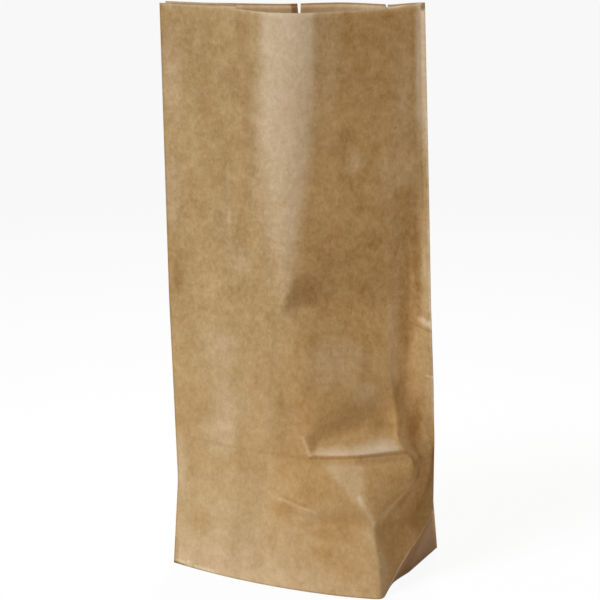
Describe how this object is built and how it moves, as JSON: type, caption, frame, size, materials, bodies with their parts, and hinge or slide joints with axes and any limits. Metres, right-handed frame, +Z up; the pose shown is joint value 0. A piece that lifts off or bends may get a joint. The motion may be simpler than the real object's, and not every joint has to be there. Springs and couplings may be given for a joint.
{
  "type": "paper bag",
  "caption": "Tall brown kraft paper bag with a flat block bottom and folded side gussets, standing open and creased, with no handles.",
  "frame": {"origin": "middle of the folded base, on the surface that the bag stands on", "axes": "+Z up from the base to the open rim, +X to the right along the front panel, -Y out of the front panel"},
  "size_m": [0.1552, 0.0934, 0.3334],
  "materials": {
    "kraft_paper": "unbleached brown kraft paper, smooth side out, faint sheen, soft creases"
  },
  "bodies": {
    "root": {"bag": "kraft_paper"}
  },
  "joints": []
}
